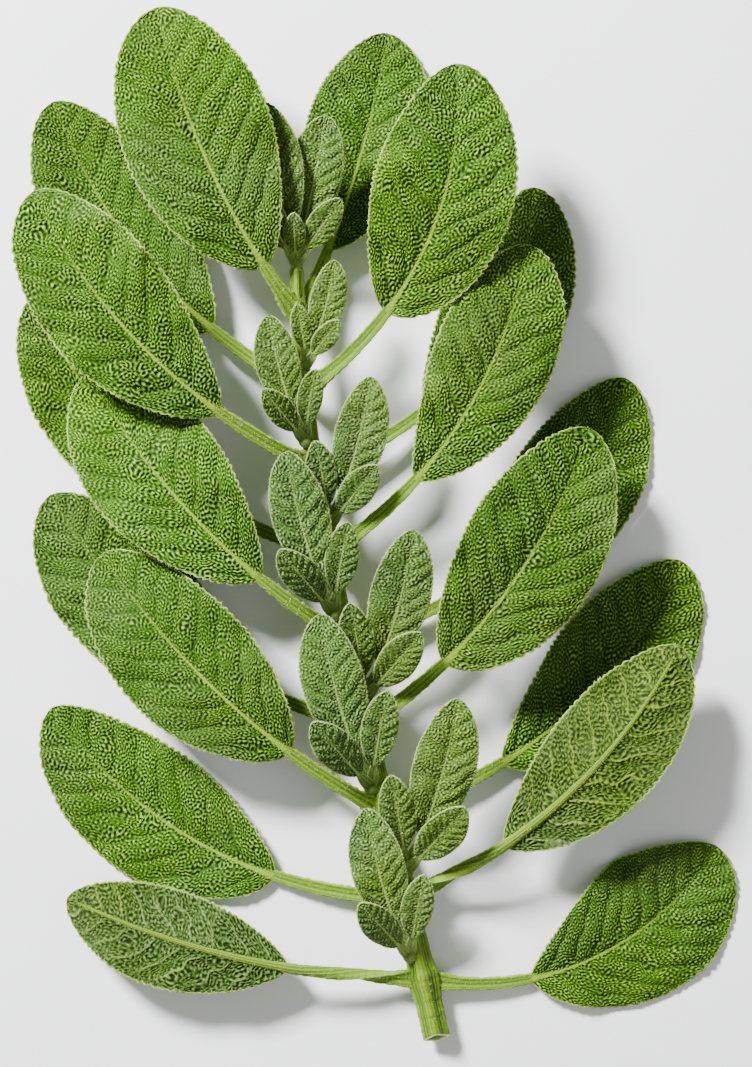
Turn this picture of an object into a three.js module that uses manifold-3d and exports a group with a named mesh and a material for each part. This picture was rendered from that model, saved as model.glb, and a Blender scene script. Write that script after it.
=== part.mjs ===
// A cut sprig of garden sage, laid down: a four-angled stem that carries opposite pairs of stalked
// leaves, small leaf tufts in the leaf axils and a crown of young leaves at its tip.
// Millimetres. +Z is up from the surface that the sprig lies on, and +Y runs from the foot to the crown.
import * as THREE from "three";
import { mergeVertices } from "three/addons/utils/BufferGeometryUtils.js";
import Module from "manifold-3d";

const wasm = await Module();
wasm.setup();

// The stem: a cubic Bezier line from the cut foot to the tip, and its section.
const STEM_LINE = [
  [20.5, -103.3, 3.4],
  [9.5, -52.0, 3.4],
  [-7.0, 4.0, 9.0],
  [-8.0, 53.0, 10.0],
];
const STEM_FOOT_RADIUS = 2.5;
const STEM_TIP_RADIUS = 1.3;
const STEM_CORNER = 1.1; // corner reach, in stem radii
const STEM_GROOVE = 0.82; // depth line of the flat sides, in stem radii
const STEM_CORNER_HALF_ANGLE = 20;
const NODE_SWELL = 0.28; // extra radius where a pair of leaves stands
const NODE_SWELL_LENGTH = 0.017; // along the stem, as a share of it
const SWELL_FOOT = 1.3; // where a swelling's sections stand beside its middle, in those lengths
const CUT_SLANT = 0.45; // slope of the cut at the foot, whose face is turned a little upward
const GAP = 0.3; // between pieces that meet

// Leaf make: shares of the blade and sizes that all leaves have in common.
const BLADE_THICKNESS = 0.62;
const BLADE_TYPICAL = 56; // length of a large leaf's blade
const STALK_HALF = 1.4; // half width of a large leaf's stalk
const STALK_HALF_LEAST = 0.55; // the same of the smallest leaf
const STALK_SIDE = 0.62; // half height of the stalk's two sides, in its half widths
const STALK_CHANNEL = 0.6; // height of the channel along its top, of the side's half height
const STALK_KEEL = 1.05; // depth of its rounded underside, in its half widths
const SMALL_KEEL = 0.5; // how much of that depth the smallest leaf has
const RIB_START = 0.8; // half width of the midrib where the blade begins, in stalk half widths
const RIB_HALF_TIP = 0.32; // half width of the midrib at the blade's tip
const RIB_KEEL_TIP = 0.34; // its depth there
const TOOTH_DEPTH = 0.022; // of the blade's half width
const YOUNG_WIDEST = 1.12; // the power that puts the widest place past a young blade's middle
const BLUNTNESS = 0.55; // the power that rounds the tip and base
const FOLD = 0.24; // slope at which each half rises from the midrib
const MID_COLUMN = 0.56; // where the blade's inner column of points runs, from midrib to rim
const EDGE_DROOP = 0.2; // how far the rim turns down again, of the half width
const WAVES = 1.6; // along the blade's edge
const RIM_LEAST = 0.05; // how far the rim always stands out from the midrib
const PATH_STEPS = 60; // along the line that a leaf follows

// How finely a leaf is faceted: rows along the stalk and the blade, teeth on each half's rim, and
// whether the blade has its inner column of points.
const LARGE = { stalkRows: 4, bladeRows: 8, teeth: 15, column: true };
const TWISTED = { stalkRows: 8, bladeRows: 8, teeth: 15, column: true };
const SMALL = { stalkRows: 1, bladeRows: 4, teeth: 4, column: false };

// Node stations along the stem, as shares of its Bezier parameter, counted from the foot.
const NODES = [0.085, 0.19, 0.3, 0.41, 0.52, 0.63, 0.74, 0.84, 0.94];

// The large leaves, in pairs from the foot up. yaw turns from +Y to the right (+X) and pitch is above the
// horizon, each at the stem and at the tip. roll tips the right half down, and the stalk takes it up.
// wave is the height of the rim's waves, and widest is the power that puts the widest place nearer the
// tip the more it is over 1. Sizes are in millimetres and angles in degrees.
// The columns are name, node, yaw, pitch, roll, stalk, blade, width, wave and widest.
const LEAVES = [
  ["leaf_1_left", 0, [-88, -66], [14, -11], -172, 28, 47, 20, 0.8, 1.12],
  ["leaf_1_right", 0, [102, 30], [-4.6, -0.4], 4, 22, 48, 29, 1, 1.2],
  ["leaf_2_left", 1, [-90, -34], [-5.2, 1], -4, 27, 58, 27, 0.6, 1.02],
  ["leaf_2_right", 1, [66, 28], [22, -10], 170, 24, 54, 23, 0.8, 1.12],
  ["leaf_3_left", 2, [-60, -35], [25, -21], -5, 24, 56, 27, 0.9, 1.05],
  ["leaf_3_right", 2, [76, 24], [-5.6, -0.4], 4, 26, 56, 27, 0.6, 1.18],
  ["leaf_4_left", 3, [-78, -30], [-7, 0.2], -4, 26, 56, 27, 0.7, 1.14],
  ["leaf_4_right", 3, [56, 18], [26, -14], 5, 22, 56, 28, 0.8, 1.02],
  ["leaf_5_left", 4, [-58, -30], [26, -19], -5, 22, 55, 27, 1, 1.2],
  ["leaf_5_right", 4, [78, 16], [-8.2, 0], 4, 28, 54, 26, 0.6, 1.1],
  ["leaf_6_left", 5, [-76, -22], [-8.9, 0], -4, 26, 57, 26, 0.8, 1.05],
  ["leaf_6_right", 5, [58, 8], [26, -14], 5, 24, 53, 24, 0.7, 1.22],
  ["leaf_7_left", 6, [-66, -26], [29, -12], -5, 23, 58, 26, 0.9, 1.18],
  ["leaf_7_right", 6, [74, 2], [-10.9, 0], 4, 26, 52, 25, 0.6, 1.04],
  ["leaf_8_left", 7, [-62, -20], [-11.4, -1], -4, 23, 58, 27, 0.7, 1.06],
  ["leaf_8_right", 7, [58, -6], [28, -9], 5, 24, 52, 28, 0.8, 1.0],
  ["leaf_9_left", 8, [-38, -12], [26, -10], -5, 12, 56, 30, 0.6, 1.1],
  ["leaf_9_right", 8, [26, 8], [-14.6, -2.7], 4, 15, 47, 25, 0.8, 1.16],
].map(([name, node, yaw, pitch, roll, stalk, blade, width, wave, widest]) => {
  return { name, node, yaw, pitch, roll, stalk, blade, width, wave, widest };
});

// A tuft of young leaves in a leaf's axil, as it stands on the right of the stem at full size, and where
// tufts stand. `lift` is added to each pitch, and `size` scales the tuft.
const TUFT_LEAVES = [
  { yaw: [24, 8], pitch: [30, -6], roll: 4, stalk: 8, blade: 26, width: 11, wave: 0.4 },
  { yaw: [38, 40], pitch: [50, 14], roll: 6, stalk: 5, blade: 15, width: 7, wave: 0.2 },
  { yaw: [-6, -12], pitch: [36, 8], roll: 0, stalk: 5, blade: 15, width: 6.5, wave: 0.2 },
];
const TUFT_OFFSET = 0.034; // above its node, along the stem
const BUD_RADIUS = 1.5; // of the short shoot that a tuft or the crown stands on
const TUFTS = [
  { name: "tuft_1_left", node: 0, side: -1, lift: 4, size: 1.0 },
  { name: "tuft_2_right", node: 1, side: 1, lift: 4, size: 1.15 },
  { name: "tuft_3_left", node: 2, side: -1, lift: 4, size: 1.15 },
  { name: "tuft_4_right", node: 3, side: 1, lift: 4, size: 1.1 },
  { name: "tuft_5_left", node: 4, side: -1, lift: 4, size: 1.05 },
  { name: "tuft_6_right", node: 5, side: 1, lift: 4, size: 0.95 },
  { name: "tuft_7_left", node: 6, side: -1, lift: 4, size: 0.8 },
  { name: "tuft_8_right", node: 7, side: 1, lift: 4, size: 0.65 },
];

// The crown of young leaves at the stem's tip.
const CROWN_LEAVES = [
  { yaw: [-16, -8], pitch: [30, -6], roll: -4, stalk: 6, blade: 27, width: 12, wave: 0.4 },
  { yaw: [14, 10], pitch: [22, -4], roll: 4, stalk: 6, blade: 24, width: 11, wave: 0.4 },
  { yaw: [-34, -30], pitch: [44, 12], roll: -8, stalk: 4, blade: 14, width: 6.5, wave: 0.2 },
  { yaw: [40, 34], pitch: [44, 12], roll: 8, stalk: 4, blade: 13, width: 6, wave: 0.2 },
  { yaw: [-4, 0], pitch: [56, 24], roll: 0, stalk: 3, blade: 9, width: 4.5, wave: 0.1 },
];

// Materials, by part of the plant.
const LEAF_FINISH = new THREE.MeshStandardMaterial({ color: 0x6b8f45, roughness: 0.8, metalness: 0 });
const YOUNG_LEAF_FINISH = new THREE.MeshStandardMaterial({ color: 0x83a55a, roughness: 0.8, metalness: 0 });
const STEM_FINISH = new THREE.MeshStandardMaterial({ color: 0x8fb04a, roughness: 0.7, metalness: 0 });

const radians = THREE.MathUtils.degToRad;
const mix = THREE.MathUtils.lerp;
const UP = new THREE.Vector3(0, 0, 1);

const stemLine = new THREE.CubicBezierCurve3(...STEM_LINE.map((p) => new THREE.Vector3(...p)));

// A closed triangle mesh as a solid, and a solid as a three.js geometry.
function toSolid(points, triangles) {
  const vertProperties = new Float32Array(points.flatMap((p) => [p.x, p.y, p.z]));
  const triVerts = new Uint32Array(triangles.flat());
  const shell = new wasm.Mesh({ numProp: 3, vertProperties, triVerts });
  return new wasm.Manifold(shell);
}

function toGeometry(solid) {
  const { vertProperties, triVerts } = solid.getMesh();
  const geometry = new THREE.BufferGeometry();
  geometry.setAttribute("position", new THREE.BufferAttribute(vertProperties, 3));
  geometry.setIndex(new THREE.BufferAttribute(triVerts, 1));
  geometry.computeVertexNormals();
  return geometry;
}

// The stem's radius at a station, thicker at the foot and swollen at each node.
function stemRadius(station) {
  const swell = NODES.reduce((sum, n) => sum + Math.exp(-(((station - n) / NODE_SWELL_LENGTH) ** 2)), 0);
  return mix(STEM_FOOT_RADIUS, STEM_TIP_RADIUS, station) * (1 + NODE_SWELL * swell);
}

// Where the stem's sections stand: its ends and three at each node.
function stemStations() {
  const reach = SWELL_FOOT * NODE_SWELL_LENGTH;
  return [0, ...NODES.flatMap((n) => [n - reach, n, n + reach]), 1];
}

// The stem, or a copy of it that is wider all round by `extra`, which leaf bases are cut back from.
function stemSolid(extra = 0, overrun = 0) {
  const points = [];
  const triangles = [];
  const section = [0, 90, 180, 270].flatMap((corner) => [
    [corner - STEM_CORNER_HALF_ANGLE, STEM_CORNER],
    [corner + STEM_CORNER_HALF_ANGLE, STEM_CORNER],
    [corner + 45, STEM_GROOVE],
  ]);
  const sides = section.length;
  const stations = stemStations();
  const steps = stations.length - 1;
  stations.forEach((station, i) => {
    const centre = stemLine.getPoint(station);
    const tangent = stemLine.getTangent(station);
    if (i === 0) centre.addScaledVector(tangent, -overrun);
    if (i === steps) centre.addScaledVector(tangent, overrun);
    const side = tangent.clone().cross(UP).normalize();
    const top = side.clone().cross(tangent);
    for (const [angle, reach] of section) {
      const r = stemRadius(station) * reach + extra;
      const across = r * Math.cos(radians(angle));
      const height = r * Math.sin(radians(angle));
      const cutBack = i === 0 ? CUT_SLANT * (STEM_FOOT_RADIUS * STEM_CORNER + height) : 0;
      const point = centre.clone().addScaledVector(side, across).addScaledVector(top, height);
      points.push(point.addScaledVector(tangent, cutBack));
    }
  });
  for (let i = 0; i < steps; i++)
    for (let j = 0; j < sides; j++) {
      const a = i * sides + j;
      const b = i * sides + ((j + 1) % sides);
      triangles.push([a, a + sides, b], [b, a + sides, b + sides]);
    }
  const last = steps * sides;
  for (let j = 1; j < sides - 1; j++) triangles.push([0, j, j + 1], [last, last + j + 1, last + j]);
  return toSolid(points, triangles);
}

// The line that a leaf's stalk and midrib follow, as a function of the distance from the stem's middle:
// yaw and pitch turn evenly from their value at the stem to their value at the tip.
function leafPath(start, leaf) {
  const length = leaf.stalk + leaf.blade;
  const direction = (share) => {
    const yaw = radians(mix(...leaf.yaw, share));
    const pitch = radians(mix(...leaf.pitch, share));
    const level = Math.cos(pitch);
    return new THREE.Vector3(Math.sin(yaw) * level, Math.cos(yaw) * level, Math.sin(pitch));
  };
  const line = [start.clone()];
  for (let i = 0; i < PATH_STEPS; i++)
    line.push(line[i].clone().addScaledVector(direction((i + 0.5) / PATH_STEPS), length / PATH_STEPS));
  return (distance) => {
    const share = distance / length;
    const at = Math.min(PATH_STEPS - 1, Math.floor(share * PATH_STEPS));
    const centre = line[at].clone().lerp(line[at + 1], share * PATH_STEPS - at);
    const tangent = direction(share);
    const roll = leaf.roll * THREE.MathUtils.smoothstep(distance, 0, leaf.stalk);
    const side = tangent.clone().cross(UP).normalize().applyAxisAngle(tangent, radians(roll));
    const normal = side.clone().cross(tangent);
    return { centre, side, normal };
  };
}

// Half the blade's width at a share of its length: an oblong with a round tip and a tapered base.
function halfWidth(leaf, v) {
  return (leaf.width / 2) * Math.sin(Math.PI * v ** (leaf.widest ?? YOUNG_WIDEST)) ** BLUNTNESS;
}

// A leaf as one closed sheet: stalk, midrib and blade. Each point of the middle surface has a reach up
// and a reach down along its own normal, so both faces have the same triangles.
function leafSolid(start, leaf, detail) {
  const at = leafPath(start, leaf);
  const size = Math.min(1, leaf.blade / BLADE_TYPICAL);
  const stalkHalf = mix(STALK_HALF_LEAST, STALK_HALF, size);
  const points = [];
  const triangles = [];
  const stalkRows = detail.stalkRows;
  const rows = stalkRows + detail.bladeRows;
  const distanceOf = (v) => leaf.stalk + v * leaf.blade;

  const add = (distance, across, lift, slope, up, down) => {
    const { centre, side, normal } = at(distance);
    const facing = normal.clone().addScaledVector(side, -slope * Math.sign(across)).normalize();
    centre.addScaledVector(side, across).addScaledVector(normal, lift);
    points.push({
      top: centre.clone().addScaledVector(facing, up),
      bottom: centre.clone().addScaledVector(facing, -down),
    });
    return points.length - 1;
  };
  const ribHalf = (v) => (v <= 0 ? stalkHalf : mix(stalkHalf * RIB_START, RIB_HALF_TIP, v ** 0.6));
  const rib = (side) =>
    Array.from({ length: rows + 1 }, (_, i) => {
      const v = Math.max(0, (i - stalkRows) / detail.bladeRows);
      const distance = i < stalkRows ? (leaf.stalk * i) / stalkRows : distanceOf(v);
      const edge = mix(stalkHalf * STALK_SIDE, BLADE_THICKNESS / 2, Math.min(1, (i / stalkRows) ** 2));
      if (side) return add(distance, side * ribHalf(v), 0, 0, edge, edge);
      const keel = mix(stalkHalf * STALK_KEEL, RIB_KEEL_TIP, v ** 0.5) + BLADE_THICKNESS / 2;
      return add(distance, 0, 0, 0, mix(edge * STALK_CHANNEL, edge, v), keel * mix(SMALL_KEEL, 1, size));
    });
  const blade = (side, v, out, tooth) => {
    const inner = ribHalf(v);
    const outer = Math.max(inner + RIM_LEAST, halfWidth(leaf, v) * (1 + tooth));
    const across = mix(inner, outer, out);
    const spread = (across - inner) / (leaf.width / 2);
    const wave = leaf.wave * spread ** 2 * Math.sin(Math.PI * (2 * WAVES * v + side * 0.5 + leaf.blade));
    const lift = (leaf.width / 2) * spread * (FOLD - EDGE_DROOP * spread) + wave;
    const slope = FOLD - 2 * EDGE_DROOP * spread;
    return add(distanceOf(v), side * across, lift, slope, BLADE_THICKNESS / 2, BLADE_THICKNESS / 2);
  };
  // Triangles between two columns of points, each a list of [share of the blade, point].
  const stitch = (left, right) => {
    let i = 0;
    let j = 0;
    while (i < left.length - 1 || j < right.length - 1) {
      const goLeft = j === right.length - 1 || (i < left.length - 1 && left[i + 1][0] <= right[j + 1][0]);
      const next = goLeft ? left[i + 1][1] : right[j + 1][1];
      const triangle = [left[i][1], right[j][1], next];
      if (new Set(triangle).size === 3) triangles.push(triangle);
      if (goLeft) i++;
      else j++;
    }
  };

  const shareOf = (i) => (i - stalkRows) / detail.bladeRows;
  const centreLine = rib(0).map((p, i) => [shareOf(i), p]);
  for (const side of [-1, 1]) {
    const edge = rib(side).map((p, i) => [shareOf(i), p]);
    const bladeEdge = edge.slice(stalkRows);
    const inner = detail.column
      ? bladeEdge.map(([v, p], i) =>
          i > 0 && i < bladeEdge.length - 1 ? [v, blade(side, v, MID_COLUMN, 0)] : [v, p],
        )
      : bladeEdge;
    const rimCount = 2 * detail.teeth;
    const rim = Array.from({ length: rimCount + 1 }, (_, k) => {
      if (k === 0 || k === rimCount) return bladeEdge[k === 0 ? 0 : bladeEdge.length - 1];
      const v = (1 - Math.cos((Math.PI * k) / rimCount)) / 2;
      return [v, blade(side, v, 1, k % 2 ? TOOTH_DEPTH : -TOOTH_DEPTH)];
    });
    const columns = detail.column ? [centreLine, edge, inner, rim] : [centreLine, edge, rim];
    columns.slice(1).forEach((column, k) => {
      const pair = k === 0 ? [columns[0], column] : [k === 1 ? bladeEdge : columns[k], column];
      stitch(...(side < 0 ? pair.reverse() : pair));
    });
  }

  // Both faces, and a wall along each edge that only one triangle has.
  const count = points.length;
  const edges = new Set(triangles.flatMap(([a, b, c]) => [`${a},${b}`, `${b},${c}`, `${c},${a}`]));
  const faces = triangles.flatMap(([a, b, c]) => [
    [a, b, c],
    [a + count, c + count, b + count],
  ]);
  for (const edge of edges) {
    const [a, b] = edge.split(",").map(Number);
    if (!edges.has(`${b},${a}`)) faces.push([b, a, a + count], [b, a + count, b + count]);
  }
  return toSolid([...points.map((p) => p.top), ...points.map((p) => p.bottom)], faces);
}

// A closed three.js shape as a solid.
function shapeSolid(shape) {
  shape.deleteAttribute("normal");
  shape.deleteAttribute("uv");
  const merged = mergeVertices(shape);
  const vertProperties = merged.attributes.position.array;
  const triVerts = new Uint32Array(merged.index.array);
  const shell = new wasm.Mesh({ numProp: 3, vertProperties, triVerts });
  return new wasm.Manifold(shell);
}

const stemCutter = stemSolid(GAP, GAP);
// What would reach below the surface that the sprig lies on: cutting it off leaves small flat spots.
const underfoot = shapeSolid(new THREE.BoxGeometry(400, 400, 20).translate(0, 0, -10));
const group = new THREE.Group();

function addPiece(name, solid, material) {
  const mesh = new THREE.Mesh(toGeometry(solid), material);
  mesh.name = name;
  group.add(mesh);
}

// Several small leaves on the bud of a short shoot, as one solid.
function cluster(start, leaves, size) {
  const bud = shapeSolid(new THREE.IcosahedronGeometry(BUD_RADIUS * size).translate(...start));
  return leaves.map((leaf) => leafSolid(start, leaf, SMALL)).reduce((a, b) => a.add(b), bud);
}

// A tuft's leaf as it stands on one side of the stem and at its size.
function tuftLeaf(leaf, tuft) {
  return {
    yaw: leaf.yaw.map((a) => tuft.side * a),
    pitch: leaf.pitch.map((a) => a + tuft.lift),
    roll: tuft.side * leaf.roll,
    stalk: leaf.stalk * tuft.size,
    blade: leaf.blade * tuft.size,
    width: leaf.width * tuft.size,
    wave: leaf.wave,
  };
}

addPiece("stem", stemSolid().subtract(underfoot), STEM_FINISH);
for (const leaf of LEAVES) {
  const detail = Math.abs(leaf.roll) > 90 ? TWISTED : LARGE;
  const start = stemLine.getPoint(NODES[leaf.node]);
  addPiece(leaf.name, leafSolid(start, leaf, detail).subtract(stemCutter).subtract(underfoot), LEAF_FINISH);
}
for (const tuft of TUFTS) {
  const station = NODES[tuft.node] + TUFT_OFFSET;
  const tangent = stemLine.getTangent(station);
  const outward = tangent.clone().cross(UP).normalize().multiplyScalar(tuft.side).add(UP).normalize();
  const start = stemLine.getPoint(station).addScaledVector(outward, stemRadius(station));
  const leaves = TUFT_LEAVES.map((leaf) => tuftLeaf(leaf, tuft));
  addPiece(tuft.name, cluster(start, leaves, Math.sqrt(tuft.size)).subtract(stemCutter), YOUNG_LEAF_FINISH);
}
const crownStart = stemLine.getPoint(1).addScaledVector(stemLine.getTangent(1), BUD_RADIUS);
addPiece("crown", cluster(crownStart, CROWN_LEAVES, 1).subtract(stemCutter), YOUNG_LEAF_FINISH);

// The origin goes under the middle of the whole sprig.
const middle = new THREE.Box3().setFromObject(group).getCenter(new THREE.Vector3());
for (const mesh of group.children) mesh.geometry.translate(-middle.x, -middle.y, 0);

export default group;
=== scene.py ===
import math

import bpy
import numpy as np
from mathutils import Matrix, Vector


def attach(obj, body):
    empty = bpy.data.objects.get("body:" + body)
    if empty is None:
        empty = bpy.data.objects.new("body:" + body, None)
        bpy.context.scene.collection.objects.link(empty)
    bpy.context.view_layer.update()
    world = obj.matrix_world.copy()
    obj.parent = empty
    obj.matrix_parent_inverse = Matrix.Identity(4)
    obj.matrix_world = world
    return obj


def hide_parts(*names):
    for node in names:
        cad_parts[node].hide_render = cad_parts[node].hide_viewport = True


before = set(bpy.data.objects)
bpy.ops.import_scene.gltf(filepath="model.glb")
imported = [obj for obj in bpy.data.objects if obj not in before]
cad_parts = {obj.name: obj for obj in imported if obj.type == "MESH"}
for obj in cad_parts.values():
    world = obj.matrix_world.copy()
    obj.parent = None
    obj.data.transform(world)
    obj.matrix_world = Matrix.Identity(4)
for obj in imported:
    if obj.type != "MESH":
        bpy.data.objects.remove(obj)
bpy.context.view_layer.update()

# Stem
# A soft green stem with four blunt ridges and a shallow groove between each two, cut at a slant.
# It swells at every node, where the stalks of a pair of leaves grow out of it, and thins to the crown.
MM = 0.001
STEM_LINE = np.array([[20.5, -103.3, 3.4], [9.5, -52.0, 3.4], [-7.0, 4.0, 9.0], [-8.0, 53.0, 10.0]])
STEM_LINE -= [7.929, 0.238, 0.0]  # the origin lies under the middle of the whole sprig
NODES = np.array([0.085, 0.19, 0.3, 0.41, 0.52, 0.63, 0.74, 0.84, 0.94])
OLD_SCARS = np.array([0.033, 0.056])  # lines left by leaves picked from below the first pair
STEM_FOOT_RADIUS = 2.5
STEM_TIP_RADIUS = 1.3
NODE_SWELL = 0.28  # how much thicker the stem is at a node, as a share
NODE_SWELL_LENGTH = 0.017
REST_GAP = 0.05  # what would sink below the surface it lies on is eased up to this height, in mm
REST_SOFTNESS = 0.3  # the height over which that easing sets in, in mm
STEM_RIDGES = 4
STEM_RIBS = 20
STEM_ROUND = 0.965  # shares of the radius: the round body, and what ridges, fine ribs and beads add to it
RIDGE_RISE = 0.13
RIB_RISE = 0.026
BEAD_RISE = 0.014
BEAD_RUN = 120  # the stem's length as its beads are drawn, in mm: less than it is, so they come out long
STEM_SIDES = 80
STEM_ROWS = 270
SCAR_SWELL = (0.05, 0.006, 0.0035)  # share of the radius, then place beyond the scar and half length
SCAR_DIP = (0.04, 0.001, 0.0022)
SCAR_STAIN = (1, 0.0015, 0.0015)
HAIR_CLEAR = (0.55, 1.0)  # heights in mm over which hairs set in, so that none goes below the floor
HAIR_LEAN = 0.7  # how far a hair may lean, in radians
HAIR_TWIST = 6.28  # how far it may turn about itself
HAIR_SHARE = (0.5, 1.1)  # shortest and longest, as shares of the length asked for
CUT_SLANT = 0.45  # the foot is cut at a slant, facing a little upward
CUT_FADE = 0.05  # share of the stem's run over which the slant is taken up


def smooth(x, low, high):
    """Rises gently from 0 at low to 1 at high."""
    t = np.clip((x - low) / (high - low), 0, 1)
    return t * t * (3 - 2 * t)


def mix(a, b, share):
    return a + (b - a) * share


def stem_frame(station):
    """Centre, side and top directions of the stem at Bezier stations, in mm."""
    s = np.atleast_1d(np.asarray(station, float))[:, None]
    p0, p1, p2, p3 = STEM_LINE
    centre = (1 - s) ** 3 * p0 + 3 * (1 - s) ** 2 * s * p1 + 3 * (1 - s) * s**2 * p2 + s**3 * p3
    tangent = 3 * (1 - s) ** 2 * (p1 - p0) + 6 * (1 - s) * s * (p2 - p1) + 3 * s**2 * (p3 - p2)
    tangent = tangent / np.linalg.norm(tangent, axis=1, keepdims=True)
    side = np.stack([tangent[:, 1], -tangent[:, 0], 0 * tangent[:, 0]], -1)
    side = side / np.linalg.norm(side, axis=1, keepdims=True)
    return centre, tangent, side, np.cross(side, tangent)


def labyrinth(x, y, length, seed, waves=30, spread=0.32):
    """Worm-like swellings of about one width: waves of like length and many directions, added up."""
    draw = np.random.default_rng(seed)
    total = np.zeros_like(x)
    for k in range(waves):
        angle = np.pi * (k + draw.uniform()) / waves
        wave = 2 * np.pi / (length * (1 + spread * draw.uniform(-1, 1)))
        total += np.cos(wave * (x * np.cos(angle) + y * np.sin(angle)) + draw.uniform(0, 2 * np.pi))
    return total / math.sqrt(waves / 2)


def stem_radius(station):
    """The radius in mm at stations, with the swelling at each node."""
    s = np.atleast_1d(np.asarray(station, float))
    swell = np.exp(-(((s[:, None] - NODES) / NODE_SWELL_LENGTH) ** 2)).sum(1)
    return mix(STEM_FOOT_RADIUS, STEM_TIP_RADIUS, s) * (1 + NODE_SWELL * swell)


def make_piece(name, points, faces, uv, masks, materials):
    """A smooth mesh object from points in mm, with a UV map and one float attribute for each mask.

    What would lie below the surface the sprig rests on is eased up to it.
    """
    mesh = bpy.data.meshes.new(name)
    points = np.array(points, float)
    points[:, 2] = REST_GAP + REST_SOFTNESS * np.logaddexp(0, (points[:, 2] - REST_GAP) / REST_SOFTNESS)
    mesh.from_pydata((points * MM).tolist(), [], faces)
    layer = mesh.uv_layers.new(name="UVMap")
    corners = np.zeros(len(mesh.loops), np.int32)
    mesh.loops.foreach_get("vertex_index", corners)
    layer.data.foreach_set("uv", np.asarray(uv, np.float32)[corners].ravel())
    masks["hairy"] = masks["hairy"] * smooth(points[:, 2], *HAIR_CLEAR)
    for key, values in masks.items():
        attribute = mesh.attributes.new(key, "FLOAT", "POINT")
        attribute.data.foreach_set("value", np.asarray(values, np.float32))
    mesh.polygons.foreach_set("use_smooth", np.ones(len(mesh.polygons), bool))
    for material in materials:
        mesh.materials.append(material)
    mesh.update()
    piece = bpy.data.objects.new(name, mesh)
    bpy.context.scene.collection.objects.link(piece)
    return piece


def tube_faces(rows, sides, first=0):
    """Quads between rings of points that face out, with both ends closed."""
    faces = []
    for i in range(rows - 1):
        for k in range(sides):
            a, b = first + i * sides + k, first + i * sides + (k + 1) % sides
            faces.append((a, a + sides, b + sides, b))
    faces.append(tuple(range(first, first + sides)))
    last = first + (rows - 1) * sides
    faces.append(tuple(range(last + sides - 1, last - 1, -1)))
    return faces


def srgb(red, green, blue):
    """A shader colour from 0 to 255 display values."""
    values = [c / 255 for c in (red, green, blue)]
    return [c / 12.92 if c <= 0.04045 else ((c + 0.055) / 1.055) ** 2.4 for c in values] + [1.0]


def add_node(tree, kind, inputs=None, **settings):
    """A node with its inputs set to values or linked to sockets."""
    node = tree.nodes.new(kind)
    for key, value in settings.items():
        setattr(node, key, value)
    for key, value in (inputs or {}).items():
        if isinstance(value, bpy.types.NodeSocket):
            tree.links.new(value, node.inputs[key])
        else:
            node.inputs[key].default_value = value
    return node


def blend(tree, factor, a, b, how="MIX"):
    """The colour output of a Mix node."""
    node = add_node(tree, "ShaderNodeMix", {0: factor, 6: a, 7: b}, data_type="RGBA", blend_type=how)
    return node.outputs[2]


def combine(tree, how, *values):
    """The result of a Math node."""
    return add_node(tree, "ShaderNodeMath", dict(enumerate(values)), operation=how).outputs[0]


def remap(tree, value, low, high, out_low, out_high):
    """A value stretched from one range to another and held within it."""
    inputs = {"Value": value, "From Min": low, "From Max": high, "To Min": out_low, "To Max": out_high}
    return add_node(tree, "ShaderNodeMapRange", inputs).outputs["Result"]


def mask(tree, name):
    """One of the piece's own masks."""
    return add_node(tree, "ShaderNodeAttribute", attribute_name=name).outputs["Fac"]


def noise(tree, vector, scale, detail=2.0, roughness=0.5):
    inputs = {"Vector": vector, "Scale": scale, "Detail": detail, "Roughness": roughness}
    return add_node(tree, "ShaderNodeTexNoise", inputs).outputs["Fac"]


def new_material(name):
    material = bpy.data.materials.new(name)
    material.use_nodes = True
    tree = material.node_tree
    return material, tree, tree.nodes["Principled BSDF"]


hair_material, tree, shader = new_material("plant_hair")
place = add_node(tree, "ShaderNodeTexCoord").outputs["Object"]
colour = blend(tree, noise(tree, place, scale=400), srgb(172, 192, 112), srgb(206, 220, 160))
tree.links.new(colour, shader.inputs["Base Color"])
shader.inputs["Roughness"].default_value = 0.5

# Hairs, which repeat all over the plant: thin cones set at random over a surface where its mask allows.
hair_tree = bpy.data.node_groups.new("hairs_on_skin", "GeometryNodeTree")
FLOAT = "NodeSocketFloat"
hair_inputs = {"Geometry": "NodeSocketGeometry", "Density": FLOAT, "Length": FLOAT, "Radius": FLOAT}
hair_inputs.update({"Seed": "NodeSocketInt", "Material": "NodeSocketMaterial"})
hair_ids = {
    key: hair_tree.interface.new_socket(key, in_out="INPUT", socket_type=kind).identifier
    for key, kind in hair_inputs.items()
}
hair_tree.interface.new_socket("Geometry", in_out="OUTPUT", socket_type="NodeSocketGeometry")
given = hair_tree.nodes.new("NodeGroupInput").outputs
hairy = add_node(hair_tree, "GeometryNodeInputNamedAttribute", {"Name": "hairy"}, data_type="FLOAT")
amount = combine(hair_tree, "MULTIPLY", given["Density"], hairy.outputs["Attribute"])
spots = add_node(
    hair_tree,
    "GeometryNodeDistributePointsOnFaces",
    {"Mesh": given["Geometry"], "Density": amount, "Seed": given["Seed"]},
)
cone = add_node(
    hair_tree,
    "GeometryNodeMeshCone",
    {"Vertices": 3, "Radius Top": 0.0, "Radius Bottom": given["Radius"], "Depth": given["Length"]},
    fill_type="NGON",
)
lean = add_node(
    hair_tree,
    "FunctionNodeRandomValue",
    {0: (-HAIR_LEAN, -HAIR_LEAN, 0.0), 1: (HAIR_LEAN, HAIR_LEAN, HAIR_TWIST), "Seed": given["Seed"]},
    data_type="FLOAT_VECTOR",
)
rotation = add_node(
    hair_tree,
    "FunctionNodeRotateRotation",
    {"Rotation": spots.outputs["Rotation"], "Rotate By": lean.outputs[0]},
    rotation_space="LOCAL",
)
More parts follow.
